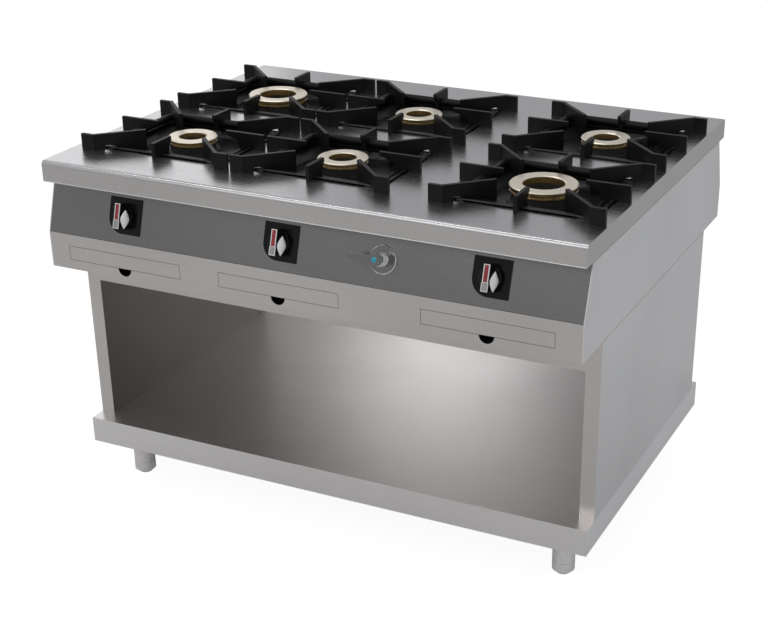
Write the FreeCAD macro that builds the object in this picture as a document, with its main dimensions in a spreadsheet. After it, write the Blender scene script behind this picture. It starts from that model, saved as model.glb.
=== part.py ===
"""Six-burner wok range on an open stand, built piece by piece in millimetres.

Frame: X to the right, Y to the back, Z up.  The origin lies on the floor under the middle of the
worktop.  Everything that sits on a sloping control panel is drawn flat first, with its own Z
pointing out of the panel, and then laid on the front or the rear panel.
"""
import FreeCAD, Part
import Sketcher
import math
import os
import re

Vector = FreeCAD.Vector

# Driving dimensions, in millimetres unless the name says otherwise.
SIZES = {
    # worktop
    "top_width": 1200.0,
    "top_depth": 900.0,
    "top_height": 785.0,
    "slab_thick": 44.0,
    "top_sheet": 3.0,
    "sheet": 2.0,
    "nose_radius": 9.0,
    "slab_flange": 52.0,
    # burner box
    "panel_setback": 36.0,
    "panel_rise": 109.5,
    "panel_seam": 0.8,
    "body_seam": 0.8,
    "fascia_height": 77.5,
    # open stand
    "stand_inset": 110.0,
    "wall_thick": 32.0,
    "header_height": 68.0,
    "header_return": 20.0,
    "tray_inset": 70.0,
    "tray_top": 158.0,
    "tray_height": 59.0,
    # feet
    "foot_inset_x": 75.5,
    "foot_inset_y": 150.0,
    "foot_radius": 24.0,
    "foot_tip_radius": 14.5,
    "foot_chamfer": 9.0,
    "foot_cup": 30.0,
    "foot_bore": 15.0,
    "foot_thread": 8.0,
    "foot_nut_low": 60.0,
    "foot_nut_height": 12.0,
    "foot_stud": 110.0,
    # crumb drawers
    "drawer_left": -414.0,
    "drawer_middle": -46.0,
    "drawer_right": 407.0,
    "drawer_drop": 178.7,
    "drawer_width": 275.5,
    "drawer_height": 31.5,
    "drawer_reveal": 0.8,
    "drawer_sheet": 1.5,
    "drawer_side": 4.0,
    "drawer_tray_height": 27.0,
    "drawer_length": 778.0,
    "notch_radius": 16.0,
    "runner_ledge": 10.0,
    "runner_foot": 12.0,
    "runner_height": 40.0,
    "runner_length": 786.0,
    "slide_gap": 0.5,
    # burner places
    "column_left": -394.0,
    "column_middle": -28.0,
    "column_right": 416.0,
    "row_front": -196.0,
    "row_rear": 165.5,
    # burner wells
    "well_half_x": 150.5,
    "well_half_y": 126.0,
    "well_corner": 34.0,
    "well_flange": 3.2,
    "well_lip": 9.0,
    "floor_half_x": 108.0,
    "floor_half_y": 100.0,
    "floor_corner": 92.0,
    "bowl_depth": 20.0,
    "bowl_wall": 3.0,
    "cutout_gap": 2.5,
    # burners
    "big_ring_radius": 68.5,
    "big_ring_bore": 42.0,
    "big_ring_height": 15.0,
    "big_ring_rise": 16.0,
    "big_ports": 36.0,
    "small_ring_radius": 53.0,
    "small_ring_bore": 29.0,
    "small_ring_height": 12.5,
    "small_ring_rise": 11.0,
    "small_ports": 28.0,
    "port_width": 2.2,
    "port_low": 3.5,
    "port_high": 6.0,
    "ring_leg": 4.0,
    "ring_lip": 1.0,
    "burner_wall": 4.0,
    "burner_depth": 49.0,
    "burner_flange": 8.0,
    "mixer_radius": 11.0,
    "mixer_bore": 8.0,
    "mixer_drop": 40.0,
    "mixer_length": 120.0,
    "bell_radius": 16.0,
    "bell_bore": 13.0,
    "bell_length": 20.0,
    # pan supports
    "support_height": 33.6,
    "support_gap": 0.2,
    "fin_thick": 8.0,
    "foot_end_x": 179.4,
    "foot_end_y": 145.4,
    "kink_x": 151.5,
    "corner_tip_y": 66.6,
    "corner_tip_drop": 17.0,
    "corner_keel_y": 75.0,
    "corner_frame_y": 103.0,
    "corner_arch_y": 126.0,
    "corner_arch_half": 24.0,
    "corner_arch_rise": 8.5,
    "side_fin_end": 178.6,
    "side_fin_tip": 86.6,
    "side_web_x": 119.0,
    "side_arch_x": 151.5,
    "side_arch_half": 16.5,
    "side_arch_rise": 7.0,
    "front_fin_end": 147.5,
    "front_fin_tip": 84.7,
    "front_web_y": 94.5,
    "front_arch_y": 126.0,
    "front_arch_half": 13.0,
    "front_arch_rise": 6.5,
    "nose_height": 8.5,
    "web_top": 14.0,
    "frame_half_x": 132.5,
    "frame_half_y": 111.5,
    "frame_width": 8.0,
    "frame_corner": 42.0,
    "frame_drop": 2.0,
    "frame_height": 3.2,
    "bar_x": 126.0,
    "bar_y": 112.5,
    "bar_rise": 10.6,
    "bar_radius": 8.25,
    "bar_bend": 20.0,
    "bar_turn": 12.0,
    "bar_end_x": 116.0,
    "bar_end_y": 107.0,
    # controls
    "knob_left": -412.0,
    "knob_middle": -42.5,
    "knob_right": 408.5,
    "plate_width": 77.0,
    "plate_height": 75.0,
    "plate_round": 34.0,
    "plate_thick": 2.5,
    "spindle_radius": 4.0,
    "spindle_flat": 3.0,
    "collar_radius": 9.0,
    "collar_depth": 8.0,
    "running_gap": 0.08,
    "spindle_inner": 45.0,
    "spindle_outer": 23.0,
    "knob_travel": 4.0,
    "knob_radius": 24.0,
    "knob_skirt": 6.0,
    "knob_face": 31.0,
    "grip_width": 15.0,
    "grip_length": 53.0,
    "grip_round": 3.0,
    "valve_radius": 15.0,
    "valve_front": 20.0,
    "valve_back": 62.0,
    "bonnet_radius": 12.0,
    "valve_inlet_radius": 7.0,
    "valve_inlet_depth": 39.0,
    # gas pipework
    "rail_radius": 11.0,
    "rail_height": 641.0,
    "rail_end": -430.0,
    "main_x": 575.0,
    "main_height": 595.0,
    "boss_radius": 9.0,
    "boss_top": 654.0,
    "burner_pipe_radius": 5.0,
    "burner_pipe_bend": 9.0,
    "rail_bend": 24.0,
    "inlet_reach": 25.0,
    "inlet_length": 24.0,
    "inlet_wall": 4.0,
    "gas_inlet_radius": 13.2,
    "gas_inlet_bore": 9.0,
    "inlet_hole_gap": 1.0,
    # water tap
    "tap_place": 183.0,
    "tap_radius": 13.0,
    "tap_body_length": 27.7,
    "tap_face": 41.0,
    "rose_radius": 29.0,
    "rose_thick": 3.0,
    "tap_shank": 8.0,
    "tap_tail": 40.0,
    "tap_nut_radius": 14.0,
    "tap_nut_height": 7.0,
    "lever_length": 60.0,
    "lever_width": 12.0,
    "lever_thick": 5.0,
    "lever_pin": 4.0,
    "lever_pin_length": 13.0,
    "water_radius": 7.5,
    "water_bend": 18.0,
    "water_height": 590.0,
    "water_inlet_radius": 10.4,
    "water_inlet_bore": 6.0,
}

# Places worked out from the driving dimensions; each name stands for the text beside it.
DERIVED = {
    "half_width": "top_width / 2",
    "half_depth": "top_depth / 2",
    "slab_under": "top_height - slab_thick",
    "panel_foot": "slab_under - panel_rise",
    "box_bottom": "panel_foot - fascia_height",
    "box_floor_top": "box_bottom + sheet",
    "panel_slope": "sqrt(panel_setback ^ 2 + panel_rise ^ 2)",
    "box_inner_x": "half_width - sheet",
    "stand_half_y": "half_depth - stand_inset",
    "stand_inner_x": "half_width - wall_thick",
    "tray_half_y": "half_depth - tray_inset",
    "tray_bottom": "tray_top - tray_height",
    "tray_underside": "tray_top - sheet",
    "side_top": "slab_under - body_seam",
    "wall_top": "box_bottom - body_seam",
    "foot_x": "half_width - foot_inset_x",
    "foot_y": "half_depth - foot_inset_y",
    "drawer_top": "top_height - drawer_drop",
    "drawer_sill": "drawer_top - drawer_height",
    "drawer_half": "drawer_width / 2",
    "crumb_half": "drawer_half - drawer_side",
    "crumb_low": "drawer_sill + drawer_reveal + slide_gap",
    "ledge_top": "crumb_low - slide_gap",
    "web_x": "crumb_half + slide_gap",
    "bowl_low": "top_height - bowl_depth",
    "mouth_half_x": "well_half_x - well_lip",
    "mouth_half_y": "well_half_y - well_lip",
    "mouth_corner": "well_corner - well_lip",
    "frame_low": "top_height - frame_drop",
    "rail_y": "half_depth - panel_setback / 2 - valve_inlet_depth * panel_rise / panel_slope",
    "support_base": "top_height + support_gap",
    "support_top": "top_height + support_height",
    "kink_shift": "kink_x - foot_end_y",
    "knob_low": "plate_thick + knob_travel + slide_gap",
    "knob_skirt_top": "knob_low + knob_skirt",
    "collar_top": "knob_low - slide_gap",
    "collar_hole": "collar_radius + running_gap",
    "collar_room": "collar_depth + knob_travel + slide_gap - sheet",
}

COLUMNS = ("left", "middle", "right")
ROWS = ("front", "rear")
BIG_BURNERS = (("left", "rear"), ("right", "front"))

doc = FreeCAD.newDocument("wok_range")
cells = doc.addObject("Spreadsheet::Sheet", "cells")
for row, (alias, number) in enumerate(SIZES.items(), start=1):
    cells.set("A%d" % row, alias)
    cells.set("B%d" % row, str(number))
    cells.setAlias("B%d" % row, alias)
doc.recompute()


# ---------------------------------------------------------------- sizes and placing

def bound(text):
    """An expression in which every size name points at its cell of the sheet."""
    def swap(match):
        word = match.group(0)
        if word in DERIVED:
            return "(" + bound(DERIVED[word]) + ")"
        if word in SIZES:
            return "cells." + word
        return word
    return re.sub(r"[a-z_]+", swap, str(text))


def value(text):
    """The number that an expression over the sheet gives."""
    return float(cells.evalExpression(bound(text)))


PANEL_TILT = 90.0 - math.degrees(math.atan2(value("panel_setback"), value("panel_rise")))


def panel_placement(place_x, side):
    """The frame on the outer face of a control panel, half way up its slope."""
    lean = FreeCAD.Rotation(Vector(1, 0, 0), PANEL_TILT)
    away = value("half_depth - panel_setback / 2")
    height = value("slab_under - panel_rise / 2")
    if side == "front":
        return FreeCAD.Placement(Vector(value(place_x), -away, height), lean)
    turn = FreeCAD.Rotation(Vector(0, 0, 1), 180.0)
    return FreeCAD.Placement(Vector(value(place_x), away, height), turn.multiply(lean))


def panel_point(place_x, side, out):
    """A point on the axis that stands out of a panel; out is negative behind it."""
    return panel_placement(place_x, side).multVec(Vector(0, 0, out))


def move_to(piece, x, y, z="0"):
    piece.Placement = FreeCAD.Placement(Vector(value(x), value(y), value(z)), FreeCAD.Rotation())


# ---------------------------------------------------------------- sketches

def new_body(label):
    body = doc.addObject("PartDesign::Body", label)
    body.Label = label
    return body


def sketch_on(body, role, lift="0"):
    """A sketch on one of the body's own origin planes, lifted along the plane's normal."""
    sketch = body.newObject("Sketcher::SketchObject", body.Name + "_sketch")
    plane = [item for item in body.Origin.OriginFeatures if item.Role == role][0]
    sketch.AttachmentSupport = [(plane, "")]
    sketch.MapMode = "FlatFace"
    sketch.setExpression("AttachmentOffset.Base.z", bound(lift))
    return sketch


def hold_point(sketch, geometry, vertex, x, y):
    """Ties one vertex of a sketch to its distances from the sketch's origin."""
    for kind, text in (("DistanceX", x), ("DistanceY", y)):
        index = sketch.addConstraint(Sketcher.Constraint(kind, -1, 1, geometry, vertex, value(text)))
        sketch.setExpression("Constraints[%d]" % index, bound(text))


def polygon(sketch, points):
    """A closed outline of straight lines through points given as size expressions."""
    first = sketch.GeometryCount
    spots = [Vector(value(x), value(y), 0) for x, y in points]
    count = len(spots)
    for index, spot in enumerate(spots):
        sketch.addGeometry(Part.LineSegment(spot, spots[(index + 1) % count]), False)
    for index in range(count):
        following = first + (index + 1) % count
        sketch.addConstraint(Sketcher.Constraint("Coincident", first + index, 2, following, 1))
    for index, (x, y) in enumerate(points):
        hold_point(sketch, first + index, 1, x, y)
    return sketch


def rectangle(sketch, low_x, low_y, high_x, high_y):
    return polygon(sketch, [(low_x, low_y), (high_x, low_y), (high_x, high_y), (low_x, high_y)])


def middle_rectangle(sketch, half_x, half_y, x="0", y="0"):
    low_x, high_x = "%s - (%s)" % (x, half_x), "%s + (%s)" % (x, half_x)
    low_y, high_y = "%s - (%s)" % (y, half_y), "%s + (%s)" % (y, half_y)
    return rectangle(sketch, low_x, low_y, high_x, high_y)


def circle(sketch, x, y, radius):
    centre = Vector(value(x), value(y), 0)
    index = sketch.addGeometry(Part.Circle(centre, Vector(0, 0, 1), value(radius)), False)
    hold_point(sketch, index, 3, x, y)
    held = sketch.addConstraint(Sketcher.Constraint("Radius", index, value(radius)))
    sketch.setExpression("Constraints[%d]" % held, bound(radius))
    return sketch


def rounded_rectangle(sketch, half_x, half_y, radius, x="0", y="0"):
    """Four sides joined by four quarter arcs, all held by size expressions."""
    first = sketch.GeometryCount
    reach_x, reach_y, bend = value(half_x), value(half_y), value(radius)
    corners = [(1, 1), (-1, 1), (-1, -1), (1, -1)]
    for index, (sign_x, sign_y) in enumerate(corners):
        centre = Vector(value(x) + sign_x * (reach_x - bend), value(y) + sign_y * (reach_y - bend), 0)
        arc = Part.Circle(centre, Vector(0, 0, 1), bend)
        start = math.radians(90 * index)
        sketch.addGeometry(Part.ArcOfCircle(arc, start, start + math.pi / 2), False)
    for index in range(4):
        start = sketch.getPoint(first + index, 2)
        end = sketch.getPoint(first + (index + 1) % 4, 1)
        sketch.addGeometry(Part.LineSegment(start, end), False)
    for index, (sign_x, sign_y) in enumerate(corners):
        centre_x = "%s + %d * ((%s) - (%s))" % (x, sign_x, half_x, radius)
        centre_y = "%s + %d * ((%s) - (%s))" % (y, sign_y, half_y, radius)
        hold_point(sketch, first + index, 3, centre_x, centre_y)
        held = sketch.addConstraint(Sketcher.Constraint("Radius", first + index, bend))
        sketch.setExpression("Constraints[%d]" % held, bound(radius))
        line = first + 4 + index
        following = first + (index + 1) % 4
        sketch.addConstraint(Sketcher.Constraint("Tangent", first + index, 2, line, 1))
        sketch.addConstraint(Sketcher.Constraint("Tangent", line, 2, following, 1))
    return sketch


# ---------------------------------------------------------------- features

def pad(body, sketch, length, reverse=False, both=False):
    feature = body.newObject("PartDesign::Pad", sketch.Name + "_pad")
    feature.Profile = sketch
    feature.setExpression("Length", bound(length))
    feature.Reversed = reverse
    feature.Midplane = both
    sketch.Visibility = False
    return feature


def pocket(body, sketch, length, reverse=False, both=False):
    """Cuts against the sketch's normal, or along it when reversed."""
    feature = body.newObject("PartDesign::Pocket", sketch.Name + "_pocket")
    feature.Profile = sketch
    feature.setExpression("Length", bound(length))
    feature.Reversed = reverse
    feature.Midplane = both
    sketch.Visibility = False
    return feature


def loft(body, kind, upper, lower):
    """Adds or subtracts the straight-sided form between two sketches."""
    feature = body.newObject("PartDesign::%sLoft" % kind, upper.Name + "_loft")
    feature.Profile = upper
    feature.Sections = [lower]
    feature.Ruled = True
    upper.Visibility = lower.Visibility = False
    return feature


def revolve(body, sketch):
    feature = body.newObject("PartDesign::Revolution", sketch.Name + "_turn")
    feature.Profile = sketch
    feature.ReferenceAxis = (sketch, ["V_Axis"])
    feature.Angle = 360.0
    sketch.Visibility = False
    return feature


def round_edges(body, base, radius, wanted):
    """Rounds every edge of a feature for which the given test is true."""
    doc.recompute()
    names = ["Edge%d" % number for number, edge in enumerate(base.Shape.Edges, start=1) if wanted(edge)]
    feature = body.newObject("PartDesign::Fillet", base.Name + "_round")
    feature.Base = (base, names)
    feature.setExpression("Radius", bound(radius))
    return feature


def lies_at(edge, axis, text):
    """True where the whole edge has one coordinate at the given place."""
    low = getattr(edge.BoundBox, axis + "Min")
    high = getattr(edge.BoundBox, axis + "Max")
    place = value(text)
    return abs(low - place) < 0.01 and abs(high - place) < 0.01


def turned(label, profile):
    """A body turned about the Z axis from a half profile of (radius, height) pairs."""
    body = new_body(label)
    revolve(body, polygon(sketch_on(body, "XZ_Plane"), profile))
    return body


def group(label, pieces):
    """Separate solids that share one node."""
    compound = doc.addObject("Part::Compound", label)
    compound.Label = label
    compound.Links = pieces
    return compound


def bent_tube(points, radius, bend):
    """A solid rod along straight runs that are joined by tangent arcs."""
    edges = []
    start = points[0]
    for before, corner, after in zip(points, points[1:], points[2:]):
        inward = (before - corner).normalize()
        outward = (after - corner).normalize()
        half_turn = (math.pi - inward.getAngle(outward)) / 2
        trim = bend * math.tan(half_turn)
        entry = corner + inward * trim
        leave = corner + outward * trim
        bisector = (inward + outward).normalize()
        middle = corner + bisector * (bend / math.cos(half_turn) - bend)
        edges.append(Part.LineSegment(start, entry).toShape())
        edges.append(Part.Arc(entry, middle, leave).toShape())
        start = leave
    edges.append(Part.LineSegment(start, points[-1]).toShape())
    path = Part.Wire(edges)
    along = (points[1] - points[0]).normalize()
    section = Part.Wire(Part.Circle(points[0], along, radius).toShape())
    return path.makePipeShell([section], True, False)


def feature_of(label, shape):
    piece = doc.addObject("Part::Feature", label)
    piece.Label = label
    piece.Shape = shape
    return piece


# ---------------------------------------------------------------- worktop and burner box

def make_worktop():
    """A folded top with rounded front and rear edges, skirts, returns and six cut-outs."""
    body = new_body("worktop")
    outline = sketch_on(body, "XY_Plane", "slab_under")
    pad(body, middle_rectangle(outline, "half_width", "half_depth"), "slab_thick")
    room = sketch_on(body, "XY_Plane", "slab_under + sheet")
    middle_rectangle(room, "half_width - sheet", "half_depth - sheet")
    hollow = pocket(body, room, "slab_thick - top_sheet - sheet", reverse=True)
    lined = round_edges(body, hollow, "nose_radius - sheet",
                        lambda edge: lies_at(edge, "Z", "top_height - top_sheet")
                        and edge.BoundBox.YLength < 0.01)
    round_edges(body, lined, "nose_radius",
                lambda edge: lies_at(edge, "Z", "top_height") and edge.BoundBox.YLength < 0.01)
    mouth = sketch_on(body, "XY_Plane", "slab_under")
    middle_rectangle(mouth, "half_width - sheet", "half_depth - slab_flange")
    pocket(body, mouth, "sheet", reverse=True)
    holes = sketch_on(body, "XY_Plane", "top_height")
    room = "bowl_wall + cutout_gap"
    for column in COLUMNS:
        for row_name in ROWS:
            rounded_rectangle(holes, "mouth_half_x + " + room, "mouth_half_y + " + room,
                              "mouth_corner + " + room, "column_" + column, "row_" + row_name)
    pocket(body, holes, "2 * top_sheet")


def make_box_side(side):
    """The end plate of the burner box, which follows both sloping panels."""
    body = new_body("box_side_" + side)
    start = "-half_width" if side == "left" else "box_inner_x"
    setback = "panel_setback * (side_top - panel_foot) / panel_rise"
    profile = [(setback + " - half_depth", "side_top"),
               ("-half_depth", "panel_foot"),
               ("-half_depth", "box_bottom"),
               ("half_depth", "box_bottom"),
               ("half_depth", "panel_foot"),
               ("half_depth - " + setback, "side_top")]
    pad(body, polygon(sketch_on(body, "YZ_Plane", start), profile), "sheet")


def make_control_panel(side):
    """A sloping sheet with a hole for each spindle, and one for the tap in front."""
    body = new_body("control_panel_" + side)
    outline = sketch_on(body, "XY_Plane")
    rectangle(outline, "-box_inner_x", "panel_seam - panel_slope / 2", "box_inner_x", "panel_slope / 2")
    pad(body, outline, "sheet", reverse=True)
    holes = sketch_on(body, "XY_Plane")
    turn = "" if side == "front" else "-"
    for column in COLUMNS:
        circle(holes, turn + "knob_" + column, "0", "collar_hole")
    if side == "front":
        circle(holes, "tap_place", "0", "tap_shank + running_gap")
    pocket(body, holes, "2 * sheet")
    body.Placement = panel_placement("0", side)


def make_front_fascia():
    """The upright strip below the panel, with drawer openings and finger notches."""
    body = new_body("fascia_front")
    outline = sketch_on(body, "XZ_Plane", "half_depth - sheet")
    pad(body, rectangle(outline, "-box_inner_x", "box_bottom", "box_inner_x", "panel_foot"), "sheet")
    openings = sketch_on(body, "XZ_Plane", "half_depth")
    for column in COLUMNS:
        place = "drawer_" + column
        rectangle(openings, place + " - drawer_half", "drawer_sill",
                  place + " + drawer_half", "drawer_top")
    pocket(body, openings, "2 * sheet")
    for column in COLUMNS:
        notch = sketch_on(body, "XZ_Plane", "half_depth")
        circle(notch, "drawer_" + column, "drawer_sill", "notch_radius")
        pocket(body, notch, "2 * sheet")


def make_rear_fascia():
    body = new_body("fascia_rear")
    outline = sketch_on(body, "XZ_Plane", "-half_depth")
    pad(body, rectangle(outline, "-box_inner_x", "box_bottom", "box_inner_x", "panel_foot"), "sheet")
    holes = sketch_on(body, "XZ_Plane", "sheet - half_depth")
    circle(holes, "main_x", "main_height", "rail_radius + inlet_hole_gap")
    circle(holes, "tap_place", "water_height", "water_radius + inlet_hole_gap")
    pocket(body, holes, "2 * sheet")


def make_box_floor():
    body = new_body("burner_box_floor")
    outline = sketch_on(body, "XY_Plane", "box_bottom")
    pad(body, middle_rectangle(outline, "box_inner_x", "half_depth - sheet"), "sheet")


# ---------------------------------------------------------------- stand

def make_stand_wall(side):
    """A hollow upright: outer skin, inner skin and the returns that join them."""
    body = new_body("stand_wall_" + side)
    sign = "-" if side == "left" else ""
    middle = sign + "(half_width - wall_thick / 2)"
    outline = sketch_on(body, "XY_Plane", "tray_top")
    middle_rectangle(outline, "wall_thick / 2", "stand_half_y", middle)
    middle_rectangle(outline, "wall_thick / 2 - sheet", "stand_half_y - sheet", middle)
    pad(body, outline, "wall_top - tray_top")


def make_stand_back():
    body = new_body("stand_back")
    outline = sketch_on(body, "XZ_Plane", "-stand_half_y")
    pad(body, rectangle(outline, "-stand_inner_x", "tray_top", "stand_inner_x", "box_bottom"), "sheet")


def make_stand_header():
    """The folded strip that closes the top of the bay in front."""
    body = new_body("stand_header")
    low = "box_bottom - header_height"
    profile = [("-stand_half_y", low),
               ("-stand_half_y", "box_bottom"),
               ("sheet - stand_half_y", "box_bottom"),
               ("sheet - stand_half_y", low + " + sheet"),
               ("header_return - stand_half_y", low + " + sheet"),
               ("header_return - stand_half_y", low)]
    outline = polygon(sketch_on(body, "YZ_Plane", "-stand_inner_x"), profile)
    pad(body, outline, "2 * stand_inner_x")


def make_shelf_tray():
    """The shelf: a flat top with skirts folded down all round."""
    body = new_body("shelf_tray")
    outline = sketch_on(body, "XY_Plane", "tray_bottom")
    pad(body, middle_rectangle(outline, "half_width", "tray_half_y"), "tray_height")
    room = sketch_on(body, "XY_Plane", "tray_bottom")
    middle_rectangle(room, "half_width - sheet", "tray_half_y - sheet")
    pocket(body, room, "tray_height - sheet", reverse=True)


def make_feet():
    """Fixed sleeves under the shelf and the screwed inserts that level the range."""
    sleeve_profile = [("foot_radius", "foot_cup"),
                      ("foot_radius", "tray_underside"),
                      ("foot_bore", "tray_underside"),
                      ("foot_bore", "foot_nut_low + foot_nut_height"),
                      ("foot_thread + running_gap", "foot_nut_low + foot_nut_height"),
                      ("foot_thread + running_gap", "foot_nut_low"),
                      ("foot_bore", "foot_nut_low"),
                      ("foot_bore", "foot_cup")]
    insert_profile = [("0", "0"),
                      ("foot_tip_radius", "0"),
                      ("foot_radius", "foot_chamfer"),
                      ("foot_radius", "foot_cup - slide_gap"),
                      ("foot_thread", "foot_cup - slide_gap"),
                      ("foot_thread", "foot_stud"),
                      ("0", "foot_stud")]
    sleeves = []
    for end, sign_y in (("front", "-"), ("rear", "")):
        for side, sign_x in (("left", "-"), ("right", "")):
            sleeve = turned("sleeve_%s_%s" % (end, side), sleeve_profile)
            move_to(sleeve, sign_x + "foot_x", sign_y + "foot_y")
            sleeves.append(sleeve)
            insert = turned("foot_%s_%s" % (end, side), insert_profile)
            move_to(insert, sign_x + "foot_x", sign_y + "foot_y")
    group("foot_sleeves", sleeves)


# ---------------------------------------------------------------- crumb drawers

def make_drawer(column):
    """An open tray with a flush front; it reaches under both burners of its column."""
    body = new_body("crumb_drawer_" + column)
    back = "sheet - half_depth + drawer_length"
    outline = sketch_on(body, "XY_Plane", "crumb_low")
    rectangle(outline, "-crumb_half", "sheet - half_depth", "crumb_half", back)
    pad(body, outline, "drawer_tray_height")
    room = sketch_on(body, "XY_Plane", "crumb_low + drawer_tray_height")
    rectangle(room, "drawer_sheet - crumb_half", "sheet + drawer_sheet - half_depth",
              "crumb_half - drawer_sheet", back + " - drawer_sheet")
    pocket(body, room, "drawer_tray_height - drawer_sheet")
    face = sketch_on(body, "XZ_Plane", "half_depth - sheet")
    rectangle(face, "drawer_reveal - drawer_half", "drawer_sill + drawer_reveal",
              "drawer_half - drawer_reveal", "drawer_top - drawer_reveal")
    pad(body, face, "sheet")
    move_to(body, "drawer_" + column, "0")


def make_runners():
    """A folded runner at each side of each drawer, standing on the box floor."""
    runners = []
    profile = [("web_x", "box_floor_top"),
               ("web_x + sheet + runner_foot", "box_floor_top"),
               ("web_x + sheet + runner_foot", "box_floor_top + sheet"),
               ("web_x + sheet", "box_floor_top + sheet"),
               ("web_x + sheet", "box_floor_top + runner_height"),
               ("web_x", "box_floor_top + runner_height"),
               ("web_x", "ledge_top"),
               ("crumb_half - runner_ledge", "ledge_top"),
               ("crumb_half - runner_ledge", "ledge_top - sheet"),
               ("web_x", "ledge_top - sheet")]
    for column in COLUMNS:
        for side, sign in (("left", "-1"), ("right", "1")):
            body = new_body("runner_%s_%s" % (column, side))
            sketch = sketch_on(body, "XZ_Plane", "half_depth - 2 * sheet")
            mirrored = [("drawer_%s + %s * (%s)" % (column, sign, x), z) for x, z in profile]
            pad(body, polygon(sketch, mirrored), "runner_length", reverse=True)
            runners.append(body)
    group("drawer_runners", runners)


# ---------------------------------------------------------------- burners

def burner_kind(column, row_name):
    return "big" if (column, row_name) in BIG_BURNERS else "small"


def make_well(column, row_name):
    """A pressed dish: a flat lip on the worktop and walls that slope to a rounder floor."""
    body = new_body("well_%s_%s" % (column, row_name))
    flange = sketch_on(body, "XY_Plane", "top_height")
    rounded_rectangle(flange, "well_half_x", "well_half_y", "well_corner")
    pad(body, flange, "well_flange")
    upper = sketch_on(body, "XY_Plane", "top_height + well_flange / 2")
    rounded_rectangle(upper, "mouth_half_x + bowl_wall", "mouth_half_y + bowl_wall",
                      "mouth_corner + bowl_wall")
    lower = sketch_on(body, "XY_Plane", "bowl_low - bowl_wall")
    rounded_rectangle(lower, "floor_half_x + bowl_wall", "floor_half_y + bowl_wall",
                      "floor_corner + bowl_wall")
    loft(body, "Additive", upper, lower)
    mouth = sketch_on(body, "XY_Plane", "top_height + well_flange")
    rounded_rectangle(mouth, "mouth_half_x", "mouth_half_y", "mouth_corner")
    floor = sketch_on(body, "XY_Plane", "bowl_low")
    rounded_rectangle(floor, "floor_half_x", "floor_half_y", "floor_corner")
    loft(body, "Subtractive", mouth, floor)
    hole = sketch_on(body, "XY_Plane", "bowl_low")
    circle(hole, "0", "0", burner_kind(column, row_name) + "_ring_radius - ring_leg + ring_lip")
    pocket(body, hole, "2 * bowl_wall")
    move_to(body, "column_" + column, "row_" + row_name)
    return body


def make_burner_body(column, row_name):
    """The cast cup that feeds a ring, with its mixing tube and bell mouth."""
    kind = burner_kind(column, row_name)
    body = new_body("burner_body_%s_%s" % (column, row_name))
    outer = kind + "_ring_radius - ring_leg"
    inner = kind + "_ring_bore"
    rim = "top_height + %s_ring_rise - %s_ring_height - support_gap" % (kind, kind)
    low = "top_height - burner_depth"
    profile = [(inner, low),
               (outer, low),
               (outer, "bowl_low"),
               (outer + " + burner_flange", "bowl_low"),
               (outer + " + burner_flange", "bowl_low + bowl_wall"),
               (outer, "bowl_low + bowl_wall"),
               (outer, rim),
               (outer + " - burner_wall", rim),
               (outer + " - burner_wall", low + " + burner_wall"),
               (inner + " + burner_wall", low + " + burner_wall"),
               (inner + " + burner_wall", rim),
               (inner, rim)]
    revolve(body, polygon(sketch_on(body, "XZ_Plane"), profile))
    towards_panel = row_name == "front"
    sign = "" if towards_panel else "-"
    height = "top_height - mixer_drop"
    start = sketch_on(body, "XZ_Plane", sign + "(%s - burner_wall)" % outer)
    circle(start, "0", height, "mixer_radius")
    pad(body, start, "mixer_length - (%s) + burner_wall" % outer, reverse=not towards_panel)
    mouth = sketch_on(body, "XZ_Plane", sign + "(mixer_length - bell_length)")
    circle(mouth, "0", height, "bell_radius")
    pad(body, mouth, "bell_length", reverse=not towards_panel)
    bell = sketch_on(body, "XZ_Plane", sign + "mixer_length")
    circle(bell, "0", height, "bell_bore")
    pocket(body, bell, "bell_length - burner_wall", reverse=not towards_panel)
    bore = sketch_on(body, "XZ_Plane", sign + "mixer_length")
    circle(bore, "0", height, "mixer_bore")
    pocket(body, bore, "mixer_length - (%s) + 1.5 * burner_wall" % outer,
           reverse=not towards_panel)
    move_to(body, "column_" + column, "row_" + row_name)
    return body


def make_burner_ring(column, row_name):
    """The brass crown: two legs, a flat top and flame ports cut through the outer leg."""
    kind = burner_kind(column, row_name)
    body = new_body("burner_ring_%s_%s" % (column, row_name))
    radius = kind + "_ring_radius"
    bore = kind + "_ring_bore"
    low = "top_height + %s_ring_rise - %s_ring_height" % (kind, kind)
    top = "top_height + %s_ring_rise" % kind
    profile = [(bore, low),
               (bore + " + ring_leg", low),
               (bore + " + ring_leg", top + " - 5 * ring_lip"),
               (radius + " - 2 * ring_leg", top + " - 5 * ring_lip"),
               (radius + " - 2 * ring_leg", low),
               (radius + " - ring_lip", low),
               (radius + " - ring_lip", low + " + port_low - ring_lip"),
               (radius + " - ring_leg", low + " + port_low"),
               (radius + " - ring_leg", low + " + port_high"),
               (radius, low + " + port_high + ring_lip"),
               (radius, top + " - 2 * ring_lip"),
               (radius + " - 2 * ring_lip", top),
               (bore + " + 2 * ring_lip", top),
               (bore, top + " - 2 * ring_lip")]
    revolve(body, polygon(sketch_on(body, "XZ_Plane"), profile))
    port = sketch_on(body, "XZ_Plane")
    rectangle(port, radius + " - 2.5 * ring_leg", low + " + port_low",
              radius + " + ring_lip", low + " + port_high")
    cut = pocket(body, port, "port_width", both=True)
    pattern = body.newObject("PartDesign::PolarPattern", body.Name + "_ports")
    pattern.Originals = [cut]
    axis = [item for item in body.Origin.OriginFeatures if item.Role == "Z_Axis"][0]
    pattern.Axis = (axis, [""])
    pattern.Angle = 360.0
    pattern.Occurrences = int(value(kind + "_ports"))
    body.Tip = pattern
    move_to(body, "column_" + column, "row_" + row_name)


# ---------------------------------------------------------------- pan supports

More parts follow.
